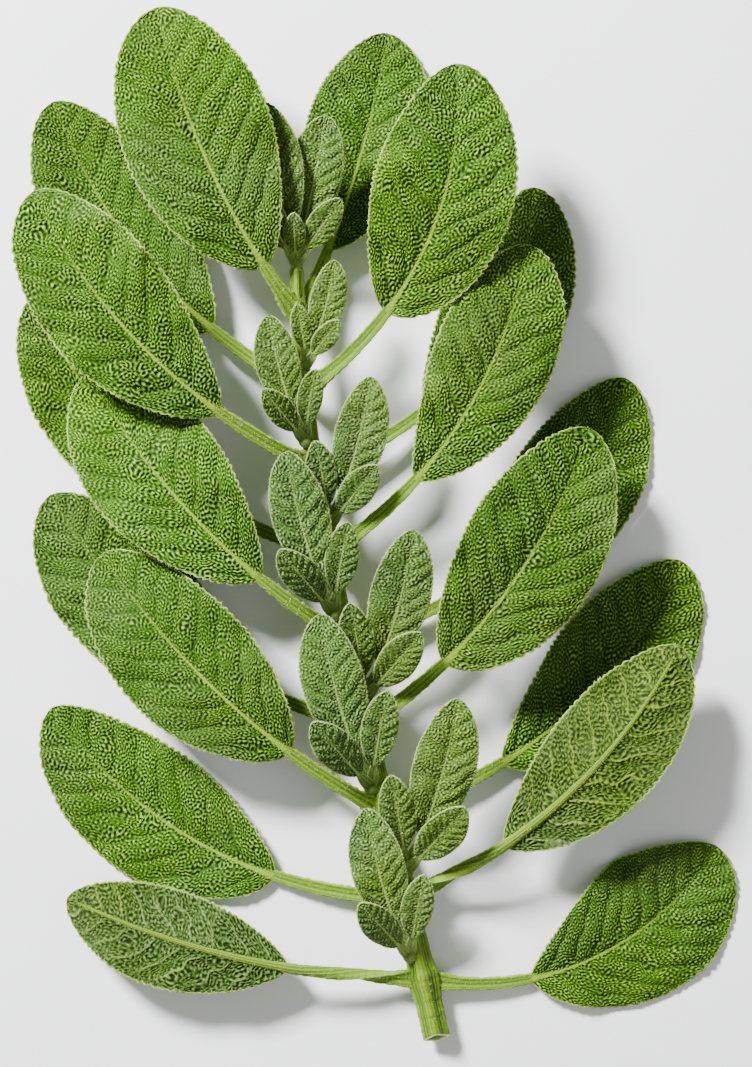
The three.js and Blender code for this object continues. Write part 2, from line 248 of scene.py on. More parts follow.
grown = add_node(
    hair_tree,
    "FunctionNodeRandomValue",
    {2: HAIR_SHARE[0], 3: HAIR_SHARE[1], "Seed": given["Seed"]},
    data_type="FLOAT",
)
marked = add_node(
    hair_tree,
    "GeometryNodeStoreNamedAttribute",
    {"Geometry": cone.outputs["Mesh"], "Name": "is_hair", "Value": True},
    data_type="BOOLEAN",
    domain="FACE",
)
placed = add_node(
    hair_tree,
    "GeometryNodeInstanceOnPoints",
    {
        "Points": spots.outputs["Points"],
        "Instance": marked.outputs[0],
        "Rotation": rotation.outputs[0],
        "Scale": grown.outputs[1],
    },
)
joined = hair_tree.nodes.new("GeometryNodeJoinGeometry")
hair_tree.links.new(given["Geometry"], joined.inputs[0])
hair_tree.links.new(placed.outputs[0], joined.inputs[0])
real = add_node(hair_tree, "GeometryNodeRealizeInstances", {"Geometry": joined.outputs[0]})
is_hair = add_node(hair_tree, "GeometryNodeInputNamedAttribute", {"Name": "is_hair"}, data_type="BOOLEAN")
painted = add_node(
    hair_tree,
    "GeometryNodeSetMaterial",
    {"Geometry": real.outputs[0], "Selection": is_hair.outputs["Attribute"], "Material": given["Material"]},
)
hair_tree.links.new(painted.outputs[0], hair_tree.nodes.new("NodeGroupOutput").inputs[0])


def grow_hairs(piece, density, length, radius, seed):
    """Adds hairs to a piece: density per square metre, sizes in metres."""
    modifier = piece.modifiers.new("hairs", "NODES")
    modifier.node_group = hair_tree
    values = {"Density": density, "Length": length, "Radius": radius, "Seed": seed}
    for key, value in {**values, "Material": hair_material}.items():
        modifier[hair_ids[key]] = value
    graph = bpy.context.evaluated_depsgraph_get()
    grown_mesh = bpy.data.meshes.new_from_object(
        piece.evaluated_get(graph), preserve_all_data_layers=True, depsgraph=graph
    )
    piece.modifiers.clear()
    piece.data = grown_mesh


stem_material, tree, shader = new_material("stem_skin")
place = add_node(tree, "ShaderNodeTexCoord")
stretched = add_node(tree, "ShaderNodeMapping", {"Vector": place.outputs["UV"], "Scale": (26, 3.0, 1)})
streaks = noise(tree, stretched.outputs[0], scale=1.0, detail=3.0)
patches = noise(tree, place.outputs["Object"], scale=90)
grain = noise(tree, place.outputs["Object"], scale=3200, detail=2.0)
ridge = remap(tree, mask(tree, "ridge"), -0.3, 0.55, 0, 1)
colour = blend(tree, ridge, srgb(46, 74, 2), srgb(108, 138, 8))
colour = blend(tree, remap(tree, streaks, 0.42, 0.62, 0, 0.45), colour, srgb(64, 96, 6))
colour = blend(tree, remap(tree, patches, 0.45, 0.7, 0, 0.3), colour, srgb(84, 114, 14))
colour = blend(tree, remap(tree, mask(tree, "scar"), 0, 1, 0, 0.7), colour, srgb(72, 96, 20))
# the cut face's rind is paler, and painted brighter still as a highlight on its edge
colour = blend(tree, mask(tree, "pale_rind_and_highlight"), colour, srgb(226, 236, 160))
# painted shade: the sunken pith of the cut face is painted darker
colour = blend(tree, mask(tree, "pith_shade"), colour, srgb(74, 104, 18))
colour = blend(tree, 1.0, colour, remap(tree, grain, 0.3, 0.7, 0.82, 1.14), "MULTIPLY")
height = combine(tree, "ADD", streaks, grain)
bump = add_node(tree, "ShaderNodeBump", {"Height": height, "Strength": 0.5, "Distance": 0.00012})
tree.links.new(colour, shader.inputs["Base Color"])
tree.links.new(bump.outputs[0], shader.inputs["Normal"])
shader.inputs["Roughness"].default_value = 0.55
shader.inputs["Sheen Weight"].default_value = 0.06
shader.inputs["Sheen Roughness"].default_value = 0.5
shader.inputs["Specular IOR Level"].default_value = 0.2

# The stem's rings: station, share of the radius and shift along the stem in mm. The foot's first rings
# are the cut face, with a pale rind, painted brighter still as a highlight, round a sunken greener pith
# painted darker as shade.
foot = [(0, 0.02, 0.8), (0, 0.3, 0.75), (0, 0.5, 0.6), (0, 0.64, 0.3)]
foot += [(0, 0.74, 0.04), (0, 0.86, -0.05), (0, 0.96, 0.0)]
length_rings = [(s, 1, 0.0) for s in np.linspace(0.001, 1, STEM_ROWS)]
tip = [(1, 0.85, 0.5), (1, 0.5, 0.9), (1, 0.02, 1.0)]
station, share, shift = np.array(foot + length_rings + tip).T
centre, tangent, side, top = stem_frame(station)
turn = np.linspace(0, 2 * np.pi, STEM_SIDES, endpoint=False)
profile = STEM_ROUND + RIDGE_RISE * np.cos(STEM_RIDGES * turn) + RIB_RISE * np.cos(STEM_RIBS * turn)
scarred = np.concatenate([OLD_SCARS, NODES])


def near_scars(height, beyond, half_length):
    """A hump just beyond each scar and node, at every ring."""
    return height * np.exp(-(((station[:, None] - scarred - beyond) / half_length) ** 2)).sum(1)


ring = 1 + near_scars(*SCAR_SWELL)
ring -= near_scars(*SCAR_DIP)
run = STEM_FOOT_RADIUS * turn[None] + 0 * station[:, None]
beads = labyrinth(run, BEAD_RUN * station[:, None] + 0 * run, length=1.0, seed=3)
beads = beads * smooth(share, 0.97, 1)[:, None]
reach = (stem_radius(station) * share * ring)[:, None] * (profile[None] + BEAD_RISE * beads)
slant = CUT_SLANT * (stem_radius(station)[:, None] + reach * np.sin(turn))
shift = shift[:, None] + slant * (1 - smooth(station, 0, CUT_FADE))[:, None]
points = (
    centre[:, None] + tangent[:, None] * shift[..., None]
    + side[:, None] * (reach * np.cos(turn))[..., None]
    + top[:, None] * (reach * np.sin(turn))[..., None]
).reshape(-1, 3)
rows = len(station)
uv = np.stack([np.tile(turn / (2 * np.pi), rows), np.repeat(station * 8, STEM_SIDES)], -1)
cut = np.repeat((station == 0) * 1.0, STEM_SIDES)
spread = np.repeat(share, STEM_SIDES)
masks = {
    "ridge": np.tile(0.3 + 0.3 * np.cos(STEM_RIDGES * turn) + 0.4 * np.cos(STEM_RIBS * turn), rows),
    # the rind, with a painted highlight on the cut face's edge
    "pale_rind_and_highlight": cut * smooth(spread, 0.66, 0.84),
    # painted shade in the sunken pith
    "pith_shade": cut * (1 - smooth(spread, 0.5, 0.75)),
    "hairy": (1 - cut) * np.tile(0.15 + 0.85 * smooth(np.cos(STEM_RIDGES * turn), 0.2, 1), rows),
    "scar": (near_scars(*SCAR_STAIN)[:, None] * smooth(beads, -1.2, 0.8)).ravel(),
}
stem = make_piece("stem_skin", points, tube_faces(rows, STEM_SIDES), uv, masks, [stem_material])
grow_hairs(stem, density=1.6e6, length=0.00045, radius=0.000035, seed=5)
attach(stem, "root")
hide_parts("stem")

# Large leaves
# Each is one grown piece that springs from the stem at a node: a channelled stalk that runs on as the
# midrib, and a soft oblong blade with a scalloped rim. The face is pebbled between sunken side veins,
# and the back has them raised in a net.
PATH_STEPS = 240
BLADE_THICKNESS = 0.62
BLADE_TYPICAL = 56  # length of a large leaf's blade; what is finer on a smaller one goes by its share of it
STALK_HALF = 1.4
STALK_HALF_LEAST = 0.55
STALK_SIDES = 28
STALK_RIBS = 9
STALK_RIB_RISE = 0.07
STALK_BEAD_RISE = 0.06
ROOT_FLARE = 0.55  # how much wider a stalk is at its root, and where along it that is, in mm
ROOT_AT = 2
ROOT_LENGTH = 3.2
END_RUN = 0.03  # share of the blade at either end over which its rows draw together
END_ROWS = 10
BLUNTNESS = 0.55  # lower gives fuller ends
FOLD = 0.24  # how far the halves rise beside the midrib, and how far they bend down again
EDGE_DROOP = 0.2
WAVES = 1.6  # waves of the rim from end to end
SCALLOP = 0.42  # height of the rim's scallops on a large leaf, in mm
SCALLOPS = 34
SCALLOP_LEVEL = 0.64  # the share of a scallop's height that lies at the blade's plain rim
SCALLOP_STRAY = 0.22  # how unevenly they follow one another, and how their height varies
SCALLOP_UNEVEN = 0.35
LOPSIDED = 0.025  # how far one half may be wider than the other, as a share
COCKLE = 0.45  # rise and fall of the blade's puckers at its rim, in mm
VEIN_PAIRS = 9
VEIN_SLANT = 0.85  # how far a side vein runs forward for each step outward
VEIN_CURVE = 0.012  # how much more it does so near the rim, for each mm
VEIN_TURN = math.hypot(1, VEIN_SLANT)
VEIN_STAGGER = 0.45  # how far the right half's veins stand ahead of the left's, as a share of their gap
VEIN_WANDER = 0.4  # how far they stray from their line in mm, slowly and then quickly
VEIN_QUIVER = 0.3
BACK_QUIVER = 0.45
VEIN_HALF = 0.26  # half widths in mm: on the face, on the back and on the side seen less
BACK_VEIN_HALF = 0.15
PLAIN_VEIN_HALF = 0.5
PEBBLE_STRETCH = 1.4  # pebbles are this much longer along the side veins than across them
PEBBLE = 0.6  # from one pebble to the next on a large leaf, in mm
# Heights of the relief in mm: the pebbles' domes, the puffs between the veins, the veins, the net of the
# back, the hollow along the midrib, and a level that keeps the middle of the sheet where it was.
FACE_DOME, FACE_PUFF, FACE_VEIN, FACE_RIB, FACE_LEVEL = 0.46, 0.26, 0.12, 0.05, 0.34
BACK_DOME, BACK_PUFF, BACK_VEIN, BACK_NET, BACK_LEVEL = 0.44, 0.2, 0.28, 0.12, 0.12
ROW_STEP = 0.226  # between the mesh's rows and columns, in mm
COLUMN_STEP = 0.21
STALK_STEP = 0.44
PLAIN_COLUMNS = 0.18  # share of the columns on the side seen less, whose pebbles are left to its skin
# Name, node, yaw and pitch in degrees at the stem and at the tip, roll, stalk, blade, width, wave in mm
# and where the blade is widest: above 1 it is nearer the tip.
LEAVES = [
    ("leaf_1_left", 0, (-88, -66), (14, -11), -172, 28, 47, 20, 0.8, 1.12),
    ("leaf_1_right", 0, (102, 30), (-4.6, -0.4), 4, 22, 48, 29, 1, 1.2),
    ("leaf_2_left", 1, (-90, -34), (-5.2, 1), -4, 27, 58, 27, 0.6, 1.02),
    ("leaf_2_right", 1, (66, 28), (22, -10), 170, 24, 54, 23, 0.8, 1.12),
    ("leaf_3_left", 2, (-60, -35), (25, -21), -5, 24, 56, 27, 0.9, 1.05),
    ("leaf_3_right", 2, (76, 24), (-5.6, -0.4), 4, 26, 56, 27, 0.6, 1.18),
    ("leaf_4_left", 3, (-78, -30), (-7, 0.2), -4, 26, 56, 27, 0.7, 1.14),
    ("leaf_4_right", 3, (56, 18), (26, -14), 5, 22, 56, 28, 0.8, 1.02),
    ("leaf_5_left", 4, (-58, -30), (26, -19), -5, 22, 55, 27, 1, 1.2),
    ("leaf_5_right", 4, (78, 16), (-8.2, 0), 4, 28, 54, 26, 0.6, 1.1),
    ("leaf_6_left", 5, (-76, -22), (-8.9, 0), -4, 26, 57, 26, 0.8, 1.05),
    ("leaf_6_right", 5, (58, 8), (26, -14), 5, 24, 53, 24, 0.7, 1.22),
    ("leaf_7_left", 6, (-66, -26), (29, -12), -5, 23, 58, 26, 0.9, 1.18),
    ("leaf_7_right", 6, (74, 2), (-10.9, 0), 4, 26, 52, 25, 0.6, 1.04),
    ("leaf_8_left", 7, (-62, -20), (-11.4, -1), -4, 23, 58, 27, 0.7, 1.06),
    ("leaf_8_right", 7, (58, -6), (28, -9), 5, 24, 52, 28, 0.8, 1.0),
    ("leaf_9_left", 8, (-38, -12), (26, -10), -5, 12, 56, 30, 0.6, 1.1),
    ("leaf_9_right", 8, (26, 8), (-14.6, -2.7), 4, 15, 47, 25, 0.8, 1.16),
]


def leaf_line(start, leaf, distance):
    """Centre, side and normal of the line that the stalk and midrib follow, at distances in mm."""
    length = leaf["stalk"] + leaf["blade"]

    def direction(share):
        yaw = np.radians(mix(*leaf["yaw"], share))
        pitch = np.radians(mix(*leaf["pitch"], share))
        return yaw, np.stack([np.sin(yaw) * np.cos(pitch), np.cos(yaw) * np.cos(pitch), np.sin(pitch)], -1)

    steps = direction((np.arange(PATH_STEPS) + 0.5) / PATH_STEPS)[1]
    line = start + np.vstack([np.zeros(3), np.cumsum(steps, 0) * length / PATH_STEPS])
    share = distance / length
    at = share * PATH_STEPS
    centre = np.stack([np.interp(at, np.arange(PATH_STEPS + 1), line[:, k]) for k in range(3)], -1)
    yaw, tangent = direction(share)
    level = np.stack([np.cos(yaw), -np.sin(yaw), 0 * yaw], -1)
    roll = np.radians(leaf["roll"]) * smooth(distance, 0, leaf["stalk"])
    side = level * np.cos(roll)[:, None] + np.cross(tangent, level) * np.sin(roll)[:, None]
    return centre, side, np.cross(side, tangent)


def stalk_half(leaf):
    """Half the width of the stalk, in mm."""
    return mix(STALK_HALF_LEAST, STALK_HALF, min(1, leaf["blade"] / BLADE_TYPICAL))


def rib_half(leaf, v):
    """Half the width of the midrib at shares of the blade, in mm."""
    return mix(stalk_half(leaf) * 0.8, 0.32, np.clip(v, 0, 1) ** 0.6)


def leaf_blade(start, leaf, seed):
    """The blade as a closed sheet, with its relief, in mm: points, faces, UVs and masks."""
    blade, half_width = leaf["blade"], leaf["width"] / 2
    size = min(1, blade / BLADE_TYPICAL)
    coarser = mix(0.8, 1, size)
    ends = END_RUN * (np.arange(END_ROWS) / END_ROWS) ** 2
    between = np.linspace(END_RUN, 1 - END_RUN, round(blade / ROW_STEP * coarser))
    v = np.concatenate([ends, between, 1 - ends[::-1]])
    centre, side, normal = leaf_line(start, leaf, leaf["stalk"] + v * blade)
    centre, side, normal = centre[:, None], side[:, None], normal[:, None]
    turned = abs(leaf["roll"]) > 90
    points, uv, masks, firsts, counts = [], [], {}, [], []
    for back in (0, 1):
        # The outline. What is added to seed gives each pattern of the leaf its own waves.
        plain = back != turned
        columns = half_width / COLUMN_STEP * coarser
        half = round(columns * (PLAIN_COLUMNS if plain else 1))
        c, vv = np.meshgrid(np.linspace(-1, 1, 2 * half + 1), v)
        inner = rib_half(leaf, vv)
        rim_line = half_width * np.sin(np.pi * np.clip(vv, 0, 1) ** leaf["widest"]).clip(0) ** BLUNTNESS
        rim_line *= 1 + LOPSIDED * np.sign(c) * labyrinth(2 * vv, 0 * vv, 3.0, seed + 11, 6)
        stray = SCALLOP_STRAY * labyrinth(30 * vv, np.sign(c), 5.0, seed + 5, 8)
        beat = SCALLOPS * vv + 0.3 * np.sign(c) + stray
        scallop = SCALLOP * size * (np.abs(np.cos(np.pi * beat)) - SCALLOP_LEVEL)
        scallop *= 1 + SCALLOP_UNEVEN * labyrinth(30 * vv, np.sign(c), 3.0, seed + 6, 8)
        scallop *= smooth(vv, 0.01, 0.06) * (1 - smooth(vv, 0.985, 1)) * np.abs(c) ** 8
        outer = np.maximum(inner * 0.92, rim_line + scallop)
        across = c * outer
        t = np.abs(across)
        spread = np.clip(t - inner, 0, None) / half_width
        right = np.sign(across)
        along = vv * blade
        wave = leaf["wave"] * spread**2 * np.sin(np.pi * (2 * WAVES * vv + right * 0.5 + blade))
        wave += COCKLE * size * spread * labyrinth(across, along, 12 * size, seed + 10, 10)
        lift = half_width * spread * (FOLD - EDGE_DROOP * spread) + wave
        slope = (FOLD - 2 * EDGE_DROOP * spread) * right * smooth(t, 0, inner)

        # Side veins, which run outward and forward from the midrib, and the puffs between them.
        sweep = along - VEIN_SLANT * t - VEIN_CURVE * t**2
        sweep += VEIN_WANDER * size * labyrinth(across, along, 15 * size, seed + 3, 12)
        quiver = BACK_QUIVER if back else VEIN_QUIVER
        sweep += quiver * size * labyrinth(across, along, 6 * size, seed + 4, 12)
        spacing = blade / VEIN_PAIRS
        band = sweep / spacing + VEIN_STAGGER * (right > 0)
        off_vein = np.abs(band % 1 - 0.5) * spacing * 0.76
        beside_rib = smooth(t, inner, inner + 0.9)
        vein_half = PLAIN_VEIN_HALF if plain else BACK_VEIN_HALF if back else VEIN_HALF
        vein = np.exp(-((off_vein / vein_half) ** 2)) * beside_rib
        vein *= 1 - 0.8 * smooth(np.abs(c), 0.65, 0.95)
        puff = smooth(off_vein, 0, spacing * 0.3) * beside_rib

        # Pebbles, a little longer along the veins, and the relief that all of it makes.
        over, beside = sweep / VEIN_TURN, (t + VEIN_SLANT * along) / VEIN_TURN / PEBBLE_STRETCH
        warp = [0.1 * labyrinth(across, along, 5.0, seed + k, 12) for k in (8, 9)]
        pitch = PEBBLE * mix(0.75, 1, size)
        beside = (beside + warp[1]) / (1.3 if back else 1)
        level = (not plain) * labyrinth(over + warp[0] + 70 * right, beside, pitch, seed, 30, 0.18)
        level *= np.clip(1 + 0.12 * labyrinth(across, along, 13 * size, seed + 12, 10), 0.75, 1.3)
        pebble = np.clip(0.5 + level / 3, 0, 1)
        dome = np.sin(np.pi / 2 * np.clip((level + 1.1) / 2.9, 0, 1))
        rib_edge = inner * mix(1.05, 0.54, smooth(vv, 0.0, 0.16))
        rib = (1 - smooth(t, rib_edge * 0.3, rib_edge)) * mix(1, 0.15, smooth(vv, 0.4, 0.9))
        if back:
            crossing = labyrinth(across, along, 4.0 * size, seed + 7, 16)
            steep = np.hypot(
                np.gradient(crossing, axis=0) / np.gradient(along, axis=0),
                np.gradient(crossing, axis=1) / np.gradient(across, axis=1),
            )
            net = np.exp(-((crossing / np.clip(steep, 0.8, None) / 0.1) ** 2)) * beside_rib * (not plain)
            relief = BACK_VEIN * vein + BACK_NET * net + BACK_DOME * dome - BACK_PUFF * puff - BACK_LEVEL
            vein = np.maximum(vein, 0.5 * net)
        else:
            relief = FACE_DOME * dome * (1 - 0.5 * vein) + FACE_PUFF * puff - FACE_VEIN * vein - FACE_LEVEL
            relief = relief * (1 - rib) - FACE_RIB * rib
        relief *= mix(0.5, 1, size) * smooth(vv, 0, 0.05) * (1 - smooth(vv, 0.975, 1))
        relief *= 1 - np.abs(c) ** 14
        thick = BLADE_THICKNESS / 2 * (1 - 0.55 * np.abs(c) ** 6) * mix(0.3, 1, smooth(vv, 0, 0.03))
        facing = normal - side * slope[..., None]
        facing = facing / np.linalg.norm(facing, axis=-1, keepdims=True)
        place = centre + side * across[..., None] + normal * lift[..., None]
        place = place + facing * ((thick + relief) * (-1 if back else 1))[..., None]

        firsts.append(sum(len(p) for p in points))
        counts.append(2 * half + 1)
        points.append(place.reshape(-1, 3))
        uv.append(np.stack([0.5 + across / leaf["width"], vv], -1).reshape(-1, 2))
        rim = 1 - smooth(outer - t, 0.06, 0.4 * mix(0.4, 1, size))
        layers = {
            "pebble": pebble,
            "vein": vein,
            "rib": rib,
            "rim": rim * (1 - rib) * (0.5 if plain else 1),
            "under": back + 0 * t,
            "plain": plain + 0 * t,
            "hairy": 0.03 + rim + 0.4 * rib,
        }
        for key, values in layers.items():
            masks.setdefault(key, []).append(values.ravel())

    # Both sheets' quads, then the strips that close them along the rims and at the two ends.
    faces = []
    rows = len(v)
    for back, (first, count) in enumerate(zip(firsts, counts)):
        grid = first + np.arange(rows * count).reshape(rows, count)
        a, b, c, d = grid[:-1, :-1], grid[:-1, 1:], grid[1:, 1:], grid[1:, :-1]
        order = (d, c, b, a) if back else (a, b, c, d)
        faces += np.stack([g.ravel() for g in order], -1).tolist()
    up = firsts[0] + np.arange(rows * counts[0]).reshape(rows, counts[0])
    down = firsts[1] + np.arange(rows * counts[1]).reshape(rows, counts[1])
    for i in range(rows - 1):
        faces.append((up[i, -1], down[i, -1], down[i + 1, -1], up[i + 1, -1]))
        faces.append((up[i, 0], up[i + 1, 0], down[i + 1, 0], down[i, 0]))
    faces.append(tuple(up[-1]) + tuple(down[-1][::-1]))
    faces.append(tuple(up[0][::-1]) + tuple(down[0]))
    return np.vstack(points), faces, np.vstack(uv), {k: np.concatenate(x) for k, x in masks.items()}


def leaf_stalk(start, leaf, seed):
    """The stalk, which runs on under the blade as its keeled midrib."""
    half = stalk_half(leaf)
    size = min(1, leaf["blade"] / BLADE_TYPICAL)
    v = np.linspace(-1, 0, round(leaf["stalk"] / STALK_STEP), endpoint=False)
    v = np.concatenate([v, np.linspace(0, 0.985, round(leaf["blade"] / STALK_STEP / 4)) ** 1.3])
    distance = np.where(v < 0, leaf["stalk"] * (1 + v), leaf["stalk"] + v * leaf["blade"])
    on_stalk = np.clip(1 + v, 0, 1)
    centre, side, normal = leaf_line(start, leaf, distance)
    sides = STALK_SIDES
    turn = np.linspace(0, 2 * np.pi, sides, endpoint=False)
    width = np.where(v < 0, mix(half, half * 0.8, on_stalk**3), rib_half(leaf, v))
    width = width * (1 + ROOT_FLARE * np.exp(-(((distance - ROOT_AT) / ROOT_LENGTH) ** 2)))
    edge = mix(half * 0.7, BLADE_THICKNESS / 2, on_stalk**2) - 0.4 * smooth(v, 0, 0.05)
    keel = (mix(half * 1.05, 0.34, np.clip(v, 0, 1) ** 0.5) + BLADE_THICKNESS / 2) * mix(0.5, 1, size)
    close = np.where(v > 0, 1 - smooth(v, 0.9, 1) * 0.8, 1)
    ribs = np.cos(STALK_RIBS * turn + 0.5 * np.pi)
    fine_ribs = 1 + STALK_RIB_RISE * ribs
    along = np.repeat(distance[:, None], sides, 1)
    beads = labyrinth(along, 4 * np.cos(turn) + 0 * along, 1.3, seed + 1, 12) * (v < 0.1)[:, None]
    fine_ribs = fine_ribs + STALK_BEAD_RISE * size * beads * np.cos(turn) ** 2
    x = (width * close)[:, None] * np.cos(turn) * fine_ribs
    hollow = 0.35 + 0.65 * np.cos(turn) ** 2
    above = edge[:, None] * hollow * np.abs(np.sin(turn)) ** 0.4
    below = -(keel * close)[:, None] * np.abs(np.sin(turn)) ** 0.75
    z = np.where(np.sin(turn) > 0, above, below) * fine_ribs
    points = centre[:, None] + side[:, None] * x[..., None] + normal[:, None] * z[..., None]
    rows = len(v)
    ridge = np.tile(np.maximum(np.cos(turn) ** 4, 0.5 + 0.5 * ribs), (rows, 1))
    pattern = labyrinth(along * 0.5, 3 * turn + 0 * x, 1.1, seed)
    masks = {
        "pebble": 0.5 + 0.16 * np.clip(pattern, -1, 1),
        "vein": 0 * x,
        "rib": 0.1 + 0.85 * ridge,
        "rim": 0 * x,
        "plain": 0 * x,
        "under": np.tile((np.sin(turn) < 0) * 1.0, (rows, 1)),
        "hairy": np.full_like(x, 0.9),
    }
    uv = np.stack([np.tile(0.5 + 0.05 * np.cos(turn), (rows, 1)), np.repeat(v[:, None], sides, 1)], -1)
    masks = {key: values.ravel() for key, values in masks.items()}
    return points.reshape(-1, 3), tube_faces(rows, sides), uv.reshape(-1, 2), masks


def join_parts(parts, tone):
    """Several parts as one set of points, faces, UVs and masks."""
    points, faces, uv, masks, first = [], [], [], {}, 0
    for part_points, part_faces, part_uv, part_masks in parts:
        points.append(part_points)
        uv.append(part_uv)
        faces += [tuple(int(i) + first for i in face) for face in part_faces]
        for key, values in part_masks.items():
            masks.setdefault(key, []).append(values)
        first += len(part_points)
    masks = {key: np.concatenate(values) for key, values in masks.items()}
    masks["tone"] = np.full(first, tone)
    return np.vstack(points), faces, np.vstack(uv), masks


def new_group(name, inputs, outputs):
    """An empty shader group, with the sockets its inputs give and its outputs take."""
    group = bpy.data.node_groups.new(name, "ShaderNodeTree")
    for key, kind in inputs.items():
        group.interface.new_socket(key, in_out="INPUT", socket_type=kind)
    for key, kind in outputs.items():
        group.interface.new_socket(key, in_out="OUTPUT", socket_type=kind)
    return group, group.nodes.new("NodeGroupInput").outputs, group.nodes.new("NodeGroupOutput").inputs


# What all leaf skins share: colours by the relief, with a painted highlight on the crests and painted shade
# in the grooves, paler ribs, veins and rim, patches of painted sheen, and the colours of the back, with
# painted shade in its hollows. The side seen less has no pebbles in its mesh, and takes them from a net of
# cells.
COLOUR = "NodeSocketColor"
SKIN_PARTS = ["Crest highlight", "Flank", "Groove shade", "Vein", "Rib", "Rim", "Painted sheen"]
SKIN_PARTS += ["Back crest", "Back groove shade", "Back vein"]
skin_group, given, made = new_group(
    "leaf_skin_colour", {k: COLOUR for k in SKIN_PARTS}, {"Color": COLOUR, "Height": "NodeSocketFloat"}
)
place = add_node(skin_group, "ShaderNodeTexCoord").outputs["Object"]
patches = noise(skin_group, place, scale=55, detail=3.0)
clumps = noise(skin_group, place, scale=700, detail=2.0)
flecks = noise(skin_group, place, scale=2100, detail=2.0)
grain = noise(skin_group, place, scale=4200, detail=2.0)
cells = add_node(
    skin_group, "ShaderNodeTexVoronoi", {"Vector": place, "Scale": 1250.0}, feature="DISTANCE_TO_EDGE"
).outputs["Distance"]
net = remap(skin_group, cells, 0.03, 0.32, 0.9, 0.25)
pebble = add_node(
    skin_group, "ShaderNodeMix", {0: mask(skin_group, "plain"), 2: mask(skin_group, "pebble"), 3: net}
).outputs[0]
# painted shade: the grooves between the pebbles are painted dark
face = blend(skin_group, remap(skin_group, pebble, 0.18, 0.5, 0, 1), given["Groove shade"], given["Flank"])
# painted highlight: the tops of the pebbles are painted paler, as where their hairs catch the light
tops = remap(skin_group, pebble, 0.58, 0.88, 0, 1)
lit = combine(skin_group, "MULTIPLY", tops, remap(skin_group, clumps, 0.35, 0.6, 0.35, 1))
face = blend(skin_group, lit, face, given["Crest highlight"])
vein = mask(skin_group, "vein")
face = blend(skin_group, remap(skin_group, vein, 0, 1, 0, 0.6), face, given["Vein"])
swell = remap(skin_group, pebble, 0.32, 0.66, 0, 1)
# painted shade: the hollows of the back are painted dark
back = blend(skin_group, swell, given["Back groove shade"], given["Back crest"])
back = blend(skin_group, remap(skin_group, pebble, 0.66, 0.9, 0, 0.45), back, given["Back vein"])
back = blend(skin_group, remap(skin_group, vein, 0, 1, 0, 0.85), back, given["Back vein"])
colour = blend(skin_group, mask(skin_group, "under"), face, back)
warmer = blend(skin_group, 1.0, colour, srgb(255, 250, 170), "MULTIPLY")
warmth = noise(skin_group, place, scale=24, detail=2.0)
colour = blend(skin_group, remap(skin_group, warmth, 0.42, 0.62, 0, 1), colour, warmer)
level = combine(skin_group, "MULTIPLY_ADD", mask(skin_group, "tone"), 0.16, 1.0)
colour = blend(skin_group, 1.0, colour, level, "MULTIPLY")
colour = blend(skin_group, 1.0, colour, remap(skin_group, patches, 0.3, 0.7, 0.84, 1.16), "MULTIPLY")
colour = blend(skin_group, 1.0, colour, remap(skin_group, flecks, 0.3, 0.7, 0.74, 1.22), "MULTIPLY")
colour = blend(skin_group, 1.0, colour, remap(skin_group, grain, 0.3, 0.7, 0.84, 1.18), "MULTIPLY")
# painted sheen: greyer patches stand in for the silvery sheen of the hairs
down = remap(skin_group, noise(skin_group, place, scale=38, detail=3.0), 0.48, 0.72, 0, 0.16)
colour = blend(skin_group, down, colour, given["Painted sheen"])
colour = blend(skin_group, mask(skin_group, "rib"), colour, given["Rib"])
colour = blend(skin_group, remap(skin_group, mask(skin_group, "rim"), 0, 1, 0, 0.8), colour, given["Rim"])
raised = combine(skin_group, "MULTIPLY", mask(skin_group, "plain"), net)
height = combine(skin_group, "ADD", combine(skin_group, "ADD", flecks, grain), raised)
skin_group.links.new(colour, made["Color"])
skin_group.links.new(height, made["Height"])


def leaf_material(name, colours, roughness, sheen):
    """A leaf's skin from its colours, as display values."""
    material, tree, shader = new_material(name)
    skin = add_node(tree, "ShaderNodeGroup", node_tree=skin_group)
    for key, value in colours.items():
        skin.inputs[key].default_value = srgb(*value)
    bump = add_node(
        tree, "ShaderNodeBump", {"Height": skin.outputs["Height"], "Strength": 0.7, "Distance": 0.00016}
    )
    tree.links.new(skin.outputs["Color"], shader.inputs["Base Color"])
    tree.links.new(bump.outputs[0], shader.inputs["Normal"])
    shader.inputs["Roughness"].default_value = roughness
    shader.inputs["Specular IOR Level"].default_value = 0.12
    shader.inputs["Specular Tint"].default_value = srgb(225, 240, 180)
    shader.inputs["Sheen Weight"].default_value = sheen
    shader.inputs["Sheen Roughness"].default_value = 0.45
    shader.inputs["Sheen Tint"].default_value = srgb(205, 228, 150)
    return material


leaf_skin = leaf_material(
    "leaf_skin",
    {
        # painted highlight on the pebbles' tops
        "Crest highlight": (127, 166, 62),
        "Flank": (48, 84, 10),
        # painted shade in the grooves
        "Groove shade": (10, 28, 2),
        "Vein": (27, 54, 4),
        "Rib": (118, 148, 44),
        "Rim": (156, 184, 90),
        # painted sheen in patches
        "Painted sheen": (110, 134, 80),
        "Back crest": (58, 88, 26),
        # painted shade in the back's hollows
        "Back groove shade": (13, 32, 5),
        "Back vein": (128, 157, 86),
    },
    roughness=0.62,
    sheen=0.1,
)

